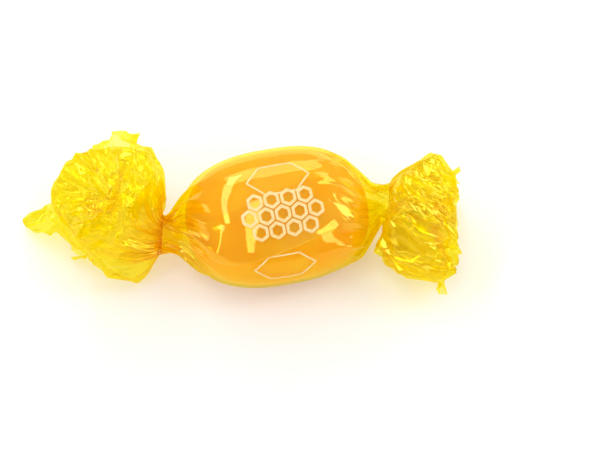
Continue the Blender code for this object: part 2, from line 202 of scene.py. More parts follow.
LEFT = {
    "side": -1,
    "neck": 0.0149,
    "shift": (0.0004, 0.0),  # of the neck, in Y and Z
    "gather": 0.55,  # the share of the way to the neck at which the pleats start
    "bend": math.radians(50),
    "roll": math.radians(14),  # the way it bends, from +Y to +Z
    "bend_length": 0.0050,
    "length": 0.0130,
    "width": 0.0168,
    "height": 0.0166,
    "flare": 0.0088,  # the length over which the film springs open
    "closing": 0.66,  # the share of the length at which it starts to close again
    "back": 0.0,  # how far the puff bulges back over the neck
    "dish": 0.0036,  # how far its gathered end sinks in
    "tilt": 0.46,  # how much longer one side is than the middle, and which side
    "tilt_way": math.radians(119),
    "salt": 3,
    "crinkle": 1.0,  # how strong its small crinkles are
    "long_fold": 0.0008,  # the depth of the folds along it, and how many there are
    "long_folds": 32,
    "corners": ((0.905, 0.0060), (0.30, 0.0008), (0.08, 0.0020)),  # turn and reach of each
    "overlap": (0.60, 0.86),  # turns between which the side of the sheet comes loose
    "free_lift": -0.0004,  # of the loose edge off the puff
    "free_flare": 0.78,  # how much sooner it springs open
    "free_short": 0.52,  # how much shorter it is
    "layers": 30.0,  # the most layers that the film's colour shows where it is gathered
    "lap": 0.15,  # share of the twist that the tail's film lies over
    "crushed": (0.18, 0.32),  # how far the facets of its wall and of its end tilt the gloss
    "facets": (36, 6, 6, 3),  # round it, along its wall, in to its middle, and along its ruffle
    "pleated_end": False,  # whether its pleats run on in to its middle
}
RIGHT = {
    "side": 1,
    "neck": 0.0144,
    "shift": (-0.0006, -0.0004),
    "gather": 0.30,
    "bend": math.radians(46),
    "roll": math.radians(176),
    "bend_length": 0.0050,
    "length": 0.0100,
    "width": 0.0164,
    "height": 0.0168,
    "flare": 0.0036,
    "closing": 0.60,
    "back": 0.0020,
    "dish": 0.0022,
    "tilt": -0.48,
    "tilt_way": math.radians(165),
    "salt": 8,
    "crinkle": 0.6,
    "long_fold": 0.0015,
    "long_folds": 19,
    "corners": ((0.93, 0.0016), (0.36, 0.0018), (0.62, 0.0012)),
    "overlap": (0.50, 0.70),
    "free_lift": 0.0008,
    "free_flare": 0.0,
    "free_short": 0.0,
    # one layer only: the right twist and tail are painted paler than the left, a painted brightness for
    # the light that catches them
    "layers": 1.0,
    "lap": 0.08,
    "crushed": (0.25, 0.32),
    "facets": (56, 2, 5, 2),
    "pleated_end": True,
}


def chance(number, salt):
    """Fixed pseudo-random shares from 0 to 1."""
    return np.modf(np.abs(np.sin(number * 12.9898 + salt * 78.233)) * 43758.5453)[0]


def smooth(share):
    """An ease from 0 to 1."""
    share = np.clip(share, 0.0, 1.0)
    return share * share * (3 - 2 * share)


def pleat_wave(turn, count, salt):
    """A zigzag round the film, from -0.5 in a valley to 0.5 on a ridge, with uneven pleats."""
    place = (turn % 1.0) * count
    pleat = np.floor(place) % count
    share = place - np.floor(place)
    height = PLEAT_LEAST + PLEAT_SPREAD * chance(pleat, salt)
    return height * (1 - np.abs(2 * share - 1)) - 0.5


FACET_LIFT, FACET_TILT = 0.7, 0.7  # how much the facets differ in height and in slope
FACET_FALL = 0.6  # how fast a facet falls off away from its middle
FACET_MEAN = 0.4  # their mean height, which is taken off
FACET_SEED = 31  # from a row of facets to the next, in the numbers that chance is given
CRUMPLE_SHARE = 0.7  # the share of ridges and valleys that is kept


def facets(across, down, count, salt):
    """Height of a crushed sheet: flat facets, one to a cell. It repeats when across reaches count."""
    cell_x, cell_y = np.floor(across), np.floor(down)
    best = np.full(np.broadcast(across, down).shape, -9.0)
    for i in range(-2, 3):
        for k in range(-2, 3):
            seed = ((cell_x + i) % count) + FACET_SEED * (cell_y + k)
            dx = across - cell_x - i - chance(seed, salt)
            dy = down - cell_y - k - chance(seed, salt + 1)
            tilt_x = 2 * chance(seed, salt + 2) - 1
            tilt_y = 2 * chance(seed, salt + 3) - 1
            height = FACET_LIFT * chance(seed, salt + 4) + FACET_TILT * (tilt_x * dx + tilt_y * dy)
            best = np.maximum(best, height - FACET_FALL * (dx * dx + dy * dy))
    return best - FACET_MEAN


def crumple(across, down, count, salt):
    """A crushed sheet with both ridges and valleys."""
    return (facets(across, down, count, salt) - facets(across, down, count, salt + 7)) * CRUMPLE_SHARE


def body_share(x):
    """The sweet's half-width at x, as a share of its largest."""
    share = np.minimum(np.abs(x) / (BODY_LENGTH / 2), 1.0)
    return (1 - share**BODY_FULLNESS) ** (1 / BODY_FULLNESS)


def film_share(x, neck_x):
    """As body_share, for the film, which leaves the sweet at a tangent and runs straight to the neck."""
    steps = neck_x * np.arange(400) / 400
    slopes = (body_share(steps) - NECK_SHARE) / (neck_x - steps)
    steepest = slopes.max()
    tangent = steps[slopes.argmax()]
    return np.where(np.abs(x) <= tangent, body_share(x), NECK_SHARE + steepest * (neck_x - np.abs(x)))


SPINE_STEPS = np.linspace(-0.006, 0.04, 500)  # distances along a tail's middle


def spine(tail, distance):
    """The middle of the tail at distances past the start of its twist, and the ways across it there."""
    angles = tail["bend"] * smooth(SPINE_STEPS / tail["bend_length"])
    step = SPINE_STEPS[1] - SPINE_STEPS[0]
    run, rise = np.cumsum(np.cos(angles)) * step, np.cumsum(np.sin(angles)) * step
    run -= np.interp(0, SPINE_STEPS, run)
    rise -= np.interp(0, SPINE_STEPS, rise)
    along = np.array([tail["side"], 0.0, 0.0])
    way = np.array([0, math.cos(tail["roll"]), math.sin(tail["roll"])])
    hinge = np.cross(along, way)
    start = np.array([tail["side"] * tail["neck"], tail["shift"][0], AXIS_HEIGHT + tail["shift"][1]])
    distance = np.asarray(distance, dtype=float)[..., None]
    centre = start + np.interp(distance, SPINE_STEPS, run) * along
    centre = centre + np.interp(distance, SPINE_STEPS, rise) * way
    bend = tail["bend"] * smooth(distance / tail["bend_length"])

    def turned(vector):
        vector = np.array(vector, dtype=float)
        still = (vector @ hinge) * hinge
        return still + np.cos(bend) * (vector - still) + np.sin(bend) * np.cross(hinge, vector)

    return centre, turned((0, 1, 0)), turned((0, 0, 1)), turned(along)


def tail_ring(tail, distance, angle, half_width, half_height):
    """Points round the middle of a tail."""
    centre, across, up, _ = spine(tail, distance)
    wide = (half_width * np.cos(angle))[..., None]
    high = (half_height * np.sin(angle))[..., None]
    return centre + wide * across + high * up


def twist_relief(tail, turn, fine=1.0):
    """Height of the pleats round the twist, with a share of the fine ones."""
    broad = PLEAT_DEPTH * pleat_wave(turn, PLEATS, tail["salt"])
    return broad + fine * FINE_DEPTH * pleat_wave(turn, FINE_PLEATS, 3)


def neck_points(tail, turn, share, shrink=0.0):
    """The twist, from the body at share 0 to the tail at share 1."""
    turn, share = np.broadcast_arrays(turn, share)
    turned = tail["side"] * NECK_TURN * (BODY_TURN + (1 - BODY_TURN - TAIL_TURN) * share)
    radius = NECK_RADIUS * (1 - NECK_WAIST * np.sin(math.pi * share))
    radius = radius + twist_relief(tail, turn) - shrink
    return tail_ring(tail, NECK_LENGTH * share, 2 * math.pi * turn + turned, radius, radius)


def crease_ridges(turn, x):
    """Height of the long creases that stand up over the sweet, each a straight line on the flat sheet."""
    ridges = 0.0
    for first, last, x_first, x_last, width, height in CREASES:
        run, rise = (last - first) * FILM_GIRTH, x_last - x_first
        around = ((turn - first + 0.5) % 1.0 - 0.5) * FILM_GIRTH
        along = x - x_first
        share = (around * run + along * rise) / (run * run + rise * rise)
        apart = np.abs(around * rise - along * run) / math.hypot(run, rise) / width
        ends = np.sqrt(np.sin(math.pi * np.clip(share, 0.0, 1.0)))
        ridges = ridges + height * np.maximum(0.0, 1 - apart) * ends
    return ridges


def body_points(turn, x):
    """The film from neck to neck. turn runs past 1 where the sheet overlaps itself."""
    turn, x = np.broadcast_arrays(turn, x)
    left = x < 0
    neck_x = np.where(left, LEFT["neck"], RIGHT["neck"])
    share = np.where(left, film_share(x, LEFT["neck"]), film_share(x, RIGHT["neck"]))
    half_width = share * BODY_WIDTH / 2
    roundness = 1 - (share - NECK_SHARE) / (1 - NECK_SHARE)
    half_height = half_width * (BODY_HEIGHT / BODY_WIDTH * (1 - roundness) + roundness)
    gather = np.where(left, LEFT["gather"], RIGHT["gather"])
    near_neck = smooth((np.abs(x) / neck_x - gather) / (1 - gather))
    turned = np.sign(x) * NECK_TURN * BODY_TURN * near_neck**2
    turned = turned + 2 * math.pi * SEAM_SKEW * x * (1 - near_neck)
    fine = near_neck**2
    pleats = np.where(left, twist_relief(LEFT, turn, fine), twist_relief(RIGHT, turn, fine))
    out = near_neck * pleats * (1 + CONE_PLEATS * near_neck * (1 - near_neck))
    out = out + crease_ridges(turn, x) * (1 - near_neck**2)
    for depth, count, to_metre, salt, lost in WRINKLES:
        out = out + depth * crumple(turn * count, x * to_metre, count, salt) * (1 - lost * near_neck)
    layer = (turn - SEAM_START) * SEAM_STEP * (1 - near_neck)
    angle = 2 * math.pi * turn + turned
    shift_y = near_neck**2 * np.where(left, LEFT["shift"][0], RIGHT["shift"][0])
    shift_z = near_neck**2 * np.where(left, LEFT["shift"][1], RIGHT["shift"][1])
    y = shift_y + (half_width + out + layer) * np.cos(angle)
    z = AXIS_HEIGHT + shift_z + (half_height + out + layer) * np.sin(angle)
    return np.stack([x, y, z], axis=-1)


def lift_off_table(points, least):
    """Presses what would be under the table flat against it."""
    points = points.copy()
    points[..., 2] = np.maximum(points[..., 2], least)
    return points


def grid_mesh(name, points, u, v):
    """A sheet of quads through a grid of points, rows by columns, with a UV map."""
    rows, columns = points.shape[:2]
    mesh = bpy.data.meshes.new(name)
    index = np.arange(rows * columns).reshape(rows, columns)
    corners = [index[:-1, :-1], index[:-1, 1:], index[1:, 1:], index[1:, :-1]]
    quads = np.stack(corners, axis=-1).reshape(-1, 4)
    mesh.from_pydata(points.reshape(-1, 3).tolist(), [], quads.tolist())
    flat = mesh.uv_layers.new(name="sheet")
    uv = np.stack(np.broadcast_arrays(u, v), axis=-1).reshape(-1, 2)
    flat.data.foreach_set("uv", uv[quads.reshape(-1)].astype(np.float32).ravel())
    mesh.shade_smooth()
    return mesh


def evaluated_mesh(name, sheet):
    """The plain mesh that an object's modifiers make. The object is removed."""
    bpy.context.view_layer.update()
    mesh = bpy.data.meshes.new_from_object(sheet.evaluated_get(bpy.context.evaluated_depsgraph_get()))
    bpy.data.objects.remove(sheet)
    mesh.name = name
    return mesh


CHORD = 4  # columns to a chord, which cuts across the finest folds
LEAST_GIRTH = 0.001
MERGE = 0.000001


def film_mesh(name, points, closed, most, crush, pleated=True):
    """A thin film with two faces through a grid of points.

    Its UV map is in metres on the flat sheet, all of whose girth is in each pleated row. Its attributes
    say how many layers lie gathered, of which most is the largest number to a row, and how crushed the
    film is there.
    """
    if closed:
        points = np.concatenate([points, points[:, :1]], axis=1)
    rows, columns = points.shape[:2]
    chords = np.linalg.norm(points[:, CHORD::CHORD] - points[:, :-CHORD:CHORD], axis=-1).sum(axis=1)
    gathered = np.maximum(FILM_GIRTH / np.maximum(chords, LEAST_GIRTH), 1.0)
    layers = np.minimum(gathered**2, most)
    down = np.linalg.norm(np.diff(points, axis=0), axis=-1).mean(axis=1)
    along = np.concatenate([[0], np.cumsum(down)])[:, None]
    girth = np.where(pleated, FILM_GIRTH, chords)[:, None]
    mesh = grid_mesh(name, points, np.linspace(0, 1, columns)[None, :] * girth, along)
    for key, values in (("layers", layers), ("crush", np.broadcast_to(crush, rows))):
        attribute = mesh.attributes.new(key, "FLOAT", "POINT")
        attribute.data.foreach_set("value", np.repeat(values, columns).astype(np.float32))
    sheet = new_object(name, mesh)
    if closed:
        sheet.modifiers.new("weld", "WELD").merge_threshold = MERGE
    wall = sheet.modifiers.new("wall", "SOLIDIFY")
    wall.thickness = FILM_THICKNESS
    wall.offset = 0
    return evaluated_mesh(name, sheet)


def tilted_facets(tree, normal, place, scale, amount):
    """A normal that tilts another way on each cell of a crushed sheet, and a chance for each cell."""
    stretched = add_node(tree, "ShaderNodeMapping", {"Vector": place, "Scale": scale}).outputs[0]
    inputs = {"Vector": stretched, "Scale": 1.0}
    cells = add_node(tree, "ShaderNodeTexVoronoi", inputs, voronoi_dimensions="2D").outputs["Color"]
    around = reckon_vector(tree, "SUBTRACT", cells, (0.5, 0.5, 0.5))
    amounts = add_node(tree, "ShaderNodeCombineXYZ", {0: amount, 1: amount, 2: amount}).outputs[0]
    tilted = reckon_vector(tree, "MULTIPLY_ADD", around, amounts, normal)
    share = add_node(tree, "ShaderNodeSeparateColor", {0: cells}).outputs[2]
    return reckon_vector(tree, "NORMALIZE", tilted), share


WIDE_CELLS, FINE_CELLS = (440, 150, 1), (1300, 450, 1)  # facets to the metre, round the sheet and along it
FINE_TILT = 0.45  # of the fine facets, as a share of the wide ones' tilt
FOLDED_CELLS = (("wide", 0.55), ("wide", 0.85), ("fine", 0.80))  # facets over these chances lie folded
FOLDED_LAYERS = 3.5  # layers that a fold adds where the film is crushed most
LAYER_TINT = (1.0, 0.985, 0.53, 1)  # what a layer lets through
LAYER_HAZE, HAZE_COLOUR = 0.018, (1.0, 0.66, 0.01, 1)  # the share that a layer scatters on through it
LAYER_MIRROR, MOST_MIRRORS = 0.036, 2.0  # the share that a layer mirrors head on, and for how many
SLANT_POWER, SLANT_MIRROR, SLANT_DEPTH = 3.5, 0.55, 1.3  # how the mirror and the tint grow at a slant
SHEET_SHAKE = (0.0006, 0.0006, 0.0)  # how far the edges of the facets stray
TAUT, CRUSHED = 0.02, 0.14  # the crush of film that lies taut, and of film that no longer does
TAUT_BLUE, CRUSHED_BLUE = 0.42, 0.24  # the blue in the glints of each
VEIL, VEIL_COLOUR = 0.10, (1.0, 0.78, 0.14, 1)  # the share that loose taut film scatters back
VEIL_AROUND, VEIL_ALONG = (0.037, 0.047), (0.009, 0.016)  # where on the flat sheet it starts, and is full
VEIL_CLOUDS, VEIL_LEAST = (0.32, 0.68, 0.15, 1.0), 0.1  # how clouds thin it out, and its least


def clear_film():
    """Clear tinted film: each face lets tinted light through, and mirrors more of it at a slant."""
    material, tree, shader, output = material_tree("clear_film")
    tree.nodes.remove(shader)
    layers = add_node(tree, "ShaderNodeAttribute", attribute_name="layers").outputs["Fac"]
    crush = add_node(tree, "ShaderNodeAttribute", attribute_name="crush").outputs["Fac"]
    sheet = add_node(tree, "ShaderNodeUVMap", uv_map="sheet").outputs["UV"]

    waves = add_node(tree, "ShaderNodeTexNoise", {"Vector": sheet, "Scale": 900, "Detail": 2})
    shaken = reckon_vector(tree, "MULTIPLY_ADD", waves.outputs["Color"], SHEET_SHAKE, sheet)
    normal = add_node(tree, "ShaderNodeNewGeometry").outputs["Normal"]
    chances = {}
    normal, chances["wide"] = tilted_facets(tree, normal, shaken, WIDE_CELLS, crush)
    finer = reckon(tree, "MULTIPLY", crush, FINE_TILT)
    normal, chances["fine"] = tilted_facets(tree, normal, shaken, FINE_CELLS, finer)
    folds = 0.0
    for key, least in FOLDED_CELLS:
        folded = reckon(tree, "GREATER_THAN", chances[key], least)
        folds = reckon(tree, "MULTIPLY_ADD", folded, crush, folds)
    layers = reckon(tree, "MULTIPLY", layers, reckon(tree, "MULTIPLY_ADD", folds, FOLDED_LAYERS, 1.0))

    facing = add_node(tree, "ShaderNodeLayerWeight", {"Blend": 0.5, "Normal": normal}).outputs["Facing"]
    steep = reckon(tree, "POWER", facing, SLANT_POWER)
    head_on = reckon(tree, "MULTIPLY", reckon(tree, "MINIMUM", layers, MOST_MIRRORS), LAYER_MIRROR)
    mirror = reckon(tree, "MULTIPLY_ADD", steep, SLANT_MIRROR, head_on)
    depth = reckon(tree, "MULTIPLY", reckon(tree, "MULTIPLY_ADD", steep, SLANT_DEPTH, 1.0), layers)
    tint = add_node(tree, "ShaderNodeGamma", {"Color": LAYER_TINT, "Gamma": depth}).outputs[0]

    clouds = add_node(tree, "ShaderNodeTexNoise", {"Vector": sheet, "Scale": 170, "Detail": 3})
    around, along, _ = add_node(tree, "ShaderNodeSeparateXYZ", {0: sheet}).outputs
    veil_share = fade(tree, clouds.outputs["Fac"], *VEIL_CLOUDS)
    for share in (
        fade(tree, around, *VEIL_AROUND, 0.0, 1.0, interpolation_type="SMOOTHSTEP"),
        fade(tree, along, *VEIL_ALONG, VEIL_LEAST, 1.0),
        fade(tree, crush, TAUT, CRUSHED, VEIL, 0.0),
    ):
        veil_share = reckon(tree, "MULTIPLY", veil_share, share)

    haze_share = reckon(tree, "MULTIPLY", layers, LAYER_HAZE, use_clamp=True)
    glint_blue = fade(tree, crush, TAUT, CRUSHED, TAUT_BLUE, CRUSHED_BLUE)
    glint = add_node(tree, "ShaderNodeCombineColor", {0: 1.0, 1: 0.97, 2: glint_blue}).outputs[0]
    look = add_node(tree, "ShaderNodeBsdfTransparent", {"Color": tint})
    for share, kind, inputs in (
        (haze_share, "ShaderNodeBsdfTranslucent", {"Color": HAZE_COLOUR}),
        (veil_share, "ShaderNodeBsdfDiffuse", {"Color": VEIL_COLOUR}),
        (mirror, "ShaderNodeBsdfGlossy", {"Color": glint, "Roughness": 0.02, "Normal": normal}),
    ):
        over = add_node(tree, kind, inputs).outputs[0]
        look = add_node(tree, "ShaderNodeMixShader", {"Fac": share, 1: look.outputs[0], 2: over})
    tree.links.new(look.outputs[0], output.inputs["Surface"])
    return material


film = clear_film()
BODY_COLUMNS, BODY_ROWS, NECK_ROWS = 340, 120, 10
BODY_LOW = 0.00005  # its least height over the table
turns = np.linspace(SEAM_START, 1 + SEAM_END, BODY_COLUMNS)[None, :]
eased = np.sin(np.linspace(-1, 1, BODY_ROWS) * math.pi / 2)[:, None]
body_x = np.where(eased < 0, eased * LEFT["neck"], eased * RIGHT["neck"])
neck_shares = np.linspace(0, 1, NECK_ROWS + 1)[1:, None]
left_neck = neck_points(LEFT, turns, neck_shares[::-1])
right_neck = neck_points(RIGHT, turns, neck_shares)
body_grid = np.concatenate([left_neck, body_points(turns, body_x), right_neck])
CONE_END, CONE_SHARE = 0.0145, 0.55  # the film is crushed from this share of the way to its necks
CONE_CRUSHES, NECK_CRUSH = (0.04, 0.16), 0.08  # how much, to the left and right, and in the right neck
away = np.concatenate([np.full(NECK_ROWS, -1.0), body_x[:, 0] / CONE_END, np.full(NECK_ROWS, 1.0)])
# past the middle the film keeps the right tail's cap of one layer, so its right cone and twist are painted
# paler, a painted brightness
most = np.where(away < 0, LEFT["layers"], RIGHT["layers"])
crush = TAUT + np.where(away < 0, *CONE_CRUSHES) * smooth((np.abs(away) - CONE_SHARE) / (1 - CONE_SHARE))
# the right twist is crushed less; this lets it bend the gloss less and also leaves its colour paler,
# partly a painted brightness for the light its pleats catch
crush[-NECK_ROWS:] = NECK_CRUSH
body_mesh = film_mesh("body_film", lift_off_table(body_grid, BODY_LOW), False, most, crush)
add_piece("body_film", body_mesh, film)


# --------------------------------------
# The print on the film: pale cream ink, rolled onto the sheet before it is cut.
# A patch of honeycomb lies over the middle of the sweet, with one long cell above it and one below.
# --------------------------------------
PRINT_LIFT, INK_DEPTH = 0.00005, 0.00001
PRINT_TURN, PRINT_X = (0.05, 0.60), (-0.0110, 0.0110)  # the piece of film that the print is laid on
PRINT_TURNS, PRINT_WIDTH = PRINT_TURN[1] - PRINT_TURN[0], PRINT_X[1] - PRINT_X[0]
CELL_RADIUS = 0.43  # of a hexagon, as a share of the pitch
CELL_POINTS = 48  # along each ring, so that it bends with the film
PRINT_COLUMNS, PRINT_ROWS = 200, 120
MOST_STRETCH = 1.1  # a cell that is stretched less than this stands on a corner


def honeycomb_tree(material):
    """Rows of hexagonal rings in a plane, laid on the film that the tree is given."""
    tree = bpy.data.node_groups.new("honeycomb", "GeometryNodeTree")
    tree.is_modifier = True
    for kind, names in (
        ("NodeSocketGeometry", ("Film",)),
        ("NodeSocketInt", ("Columns", "Rows")),
        ("NodeSocketFloat", ("Pitch", "Stretch", "Line", "Turn", "Along")),
    ):
        for name in names:
            tree.interface.new_socket(name, in_out="INPUT", socket_type=kind)
    tree.interface.new_socket("Print", in_out="OUTPUT", socket_type="NodeSocketGeometry")
    given = tree.nodes.new("NodeGroupInput").outputs
    output = tree.nodes.new("NodeGroupOutput")

    def sum_of(operation, *values):
        return reckon(tree, operation, *values)

    def made(kind, inputs=(), **settings):
        """The first output of a new node."""
        return add_node(tree, kind, inputs, **settings).outputs[0]

    pitch, rows = given["Pitch"], given["Rows"]
    width = sum_of("MULTIPLY", sum_of("SUBTRACT", given["Columns"], 1.0), pitch)
    row_pitch = sum_of("MULTIPLY", pitch, math.sqrt(3) / 2)
    height = sum_of("MULTIPLY", sum_of("SUBTRACT", rows, 1.0), row_pitch)
    counts = {"Vertices X": given["Columns"], "Vertices Y": rows}
    points = made("GeometryNodeMeshGrid", {"Size X": width, "Size Y": height, **counts})
    row = sum_of("MODULO", sum_of("MODULO", made("GeometryNodeInputIndex"), rows), 2.0)
    even = sum_of("MULTIPLY", sum_of("SUBTRACT", 1.0, row), sum_of("GREATER_THAN", rows, 1.5))
    half_pitch = sum_of("MULTIPLY", sum_of("MULTIPLY", even, pitch), 0.5)
    shift = made("ShaderNodeCombineXYZ", {0: half_pitch})
    shifted = made("GeometryNodeSetPosition", {"Geometry": points, "Offset": shift})
    x = made("ShaderNodeSeparateXYZ", {0: made("GeometryNodeInputPosition")})
    edge = sum_of("MULTIPLY_ADD", width, 0.5, 0.0001)
    beyond = made("FunctionNodeCompare", {0: x, 1: edge}, data_type="FLOAT", operation="GREATER_THAN")
    kept = made("GeometryNodeDeleteGeometry", {"Geometry": shifted, "Selection": beyond})

    radius = sum_of("MULTIPLY", pitch, CELL_RADIUS)
    hexagon = made("GeometryNodeCurvePrimitiveCircle", {"Resolution": 6, "Radius": radius})
    fine = made("GeometryNodeResampleCurve", {"Curve": hexagon, "Count": CELL_POINTS})
    profile = {"Width": given["Line"], "Height": INK_DEPTH}
    ink = made("GeometryNodeCurvePrimitiveQuadrilateral", profile)
    stretch = made("ShaderNodeCombineXYZ", {0: given["Stretch"], 1: 1.0, 2: 1.0})
    stretched = made("GeometryNodeTransform", {"Geometry": fine, "Scale": stretch})
    ring = made("GeometryNodeCurveToMesh", {"Curve": stretched, "Profile Curve": ink})
    regular = sum_of("LESS_THAN", given["Stretch"], MOST_STRETCH)
    tilt = made("ShaderNodeCombineXYZ", {2: sum_of("MULTIPLY", regular, math.pi / 6)})
    cells = made("GeometryNodeInstanceOnPoints", {"Points": kept, "Instance": ring, "Rotation": tilt})
    flat = made("GeometryNodeRealizeInstances", {0: cells})

    place = made("GeometryNodeInputPosition")
    across, down, up = add_node(tree, "ShaderNodeSeparateXYZ", {0: place}).outputs
    turn = sum_of("SUBTRACT", given["Turn"], sum_of("DIVIDE", down, PRINT_TURNS * FILM_GIRTH))
    turn = sum_of("SUBTRACT", turn, sum_of("MULTIPLY", across, SEAM_SKEW / PRINT_TURNS))
    along = sum_of("ADD", given["Along"], sum_of("DIVIDE", across, PRINT_WIDTH))
    spot = made("ShaderNodeCombineXYZ", {0: turn, 1: along})
    uv = made("GeometryNodeInputNamedAttribute", {"Name": "sheet"}, data_type="FLOAT_VECTOR")
    sampled = []
    for field in ("GeometryNodeInputPosition", "GeometryNodeInputNormal"):
        probe = add_node(tree, "GeometryNodeSampleUVSurface", data_type="FLOAT_VECTOR")
        for socket, source in zip(probe.inputs, (given["Film"], made(field), uv, spot)):
            tree.links.new(source, socket)
        sampled.append(probe.outputs[0])
    foot, normal = sampled
    rise = sum_of("ADD", up, PRINT_LIFT)
    lifted = made("ShaderNodeVectorMath", {0: normal, "Scale": rise}, operation="SCALE")
    laid = made("GeometryNodeSetPosition", {"Geometry": flat, "Position": foot, "Offset": lifted})
    inked = made("GeometryNodeSetMaterial", {"Geometry": laid, "Material": material})
    tree.links.new(inked, output.inputs[0])
    return tree


def cream_ink():
    """Thin cream ink: nearly covering, a little uneven, and matt under the gloss of the light."""
    material, tree, shader, _ = material_tree("cream_ink")
    place = add_node(tree, "ShaderNodeTexCoord").outputs["Object"]
    dark, light = (0.35, (0.97, 0.75, 0.30, 1)), (0.6, (0.98, 0.84, 0.42, 1))
    cream = mottle(tree, place, 2600, dark, light)
    set_inputs(tree, shader, {"Base Color": cream, "Roughness": 0.45, "Alpha": 0.62})
    return material


ink_material = cream_ink()
honeycomb = honeycomb_tree(ink_material)
print_turns = np.linspace(0, 1, PRINT_COLUMNS)[None, :]
print_rows = np.linspace(0, 1, PRINT_ROWS)[:, None]
under = PRINT_TURN[0] + PRINT_TURNS * print_turns
outermost = np.where(under < SEAM_END, under + 1, under)
film_under_print = body_points(outermost, PRINT_X[0] + PRINT_WIDTH * print_rows)
PRINTS = (  # name, columns, rows, pitch, stretch, line, turn, x of the middle
    ("honeycomb_print", 5, 3, 0.0024, 1.0, 0.00042, 0.318, 0.0000),
    ("upper_cell_print", 1, 1, 0.0060, 1.75, 0.00024, 0.232, 0.0004),
    ("lower_cell_print", 1, 1, 0.0058, 1.75, 0.00024, 0.452, -0.0008),
)
for name, columns, rows, pitch, stretch, line, turn, x in PRINTS:
    guide = new_object(name, grid_mesh(name, film_under_print, print_turns, print_rows))
    layer = guide.modifiers.new("print", "NODES")
    layer.node_group = honeycomb
    middle = ((turn - PRINT_TURN[0]) / PRINT_TURNS, (x - PRINT_X[0]) / PRINT_WIDTH)
    sockets = [item for item in honeycomb.interface.items_tree if item.in_out == "INPUT"][1:]
    for socket, value in zip(sockets, (columns, rows, pitch, stretch, line, *middle)):
        layer[socket.identifier] = value
    print_mesh = evaluated_mesh(name, guide)
    print_mesh.shade_flat()
    add_piece(name, print_mesh, ink_material)


# --------------------------------------
# The tails: the same film past each twist, where it springs open into a puff and is crushed.
# An outer sheet ends in a ruffled free edge, and the gathered sheet inside it curls in like a rose.
# --------------------------------------
DENTS, DENT_ROWS, CRUMPLE = 8, 2.6, 0.0016  # the large facets of the crushed film: how many, how deep
CRINKLES, CRINKLE_ROWS, CRINKLE = 19, 6.5, 0.0008  # the small ones
FOLDS, FOLD_DEPTH = 5, 0.0012  # the broad folds that the pleats open into
LONG_FOLD_ROWS = 1.8
RING_FOLDS, RING_FOLD_DEPTH, RING_WANDER = 6, 0.0004, 700  # folds round it, which the dents push about
FLARE_EASE = 0.9  # under 1, the film springs open faster at first
PLEATS_LOST = 0.75  # the share of the pleats' depth that goes as the film springs open
END_CLOSING = 0.40
DROOP = 0.12  # the puffs are this share fuller at the underside
BULGE_END = 1.5  # where the bulge back over the neck ends, in lengths of the flare
BULGE_SIDE, BULGE_ROUND = 0.6, 0.4  # how much of it is on one side, and how much all round
BACK_WAY = math.radians(213)
DISH_RIPPLE, DISH_FACETS = 0.0009, 1.2  # the pleats in the gathered end, and its deeper facets
DISH_WAY = 0.8  # the way in to the middle of it, in lengths of the puff
DISH_STEEPNESS = 1.3  # over 1, it is flat round its middle
ROSE_TURNS, ROSE_DEPTH, ROSE_WANDER = 2.2, 0.0012, 150  # the folds that curl in to its middle
FREE_EASE = 1.5  # over 1, the sheet comes loose slowly at first
SKIRT_ROOT, SKIRT_LENGTH = 0.90, 0.0016  # the ruffle, between its corners
SKIRT_LEAST, SKIRT_SPREAD, SKIRT_WAVES = 0.7, 0.6, 7  # how much it varies
SKIRT_SHORTEST, SKIRT_START = 0.4, 0.0006
SKIRT_OPENING, SKIRT_FLUTTER, FLUTTERS = math.radians(58), math.radians(26), 8
RUFFLES, RUFFLE_DEPTH = 14, 0.0009
FRILLS, FRILL_DEPTH = 37, 0.0003
CORNER_SPREAD = 0.055  # half-width of a corner of the film, as a share of a turn
CORNER_POINT = 1.2  # over 1 makes a corner's sides hollow, and its tip sharp


def ridge(place):
    """A zigzag from -1 to 1."""
    return 1 - 4 * np.abs(place % 1.0 - 0.5)


def puff_share(tail, along, flared):
    """The half-width of the puff at a share of its length, as a share of its largest."""
    opened = np.minimum(flared, 1.0)
    neck_share = NECK_RADIUS / (tail["width"] / 2)
    rise = neck_share + (1 - neck_share) * np.sin(opened * math.pi / 2) ** FLARE_EASE
    closing = np.maximum(0.0, (along - tail["closing"]) / (1 - tail["closing"]))
    return rise * np.sqrt(1 - END_CLOSING * closing**2)


def free_share(tail, turn):
    """How free the sheet is near its side edge: 0 where it lies on the layer under it, 1 at the edge."""
    first, last = tail["overlap"]
    return smooth((turn - first) / (last - first)) ** FREE_EASE


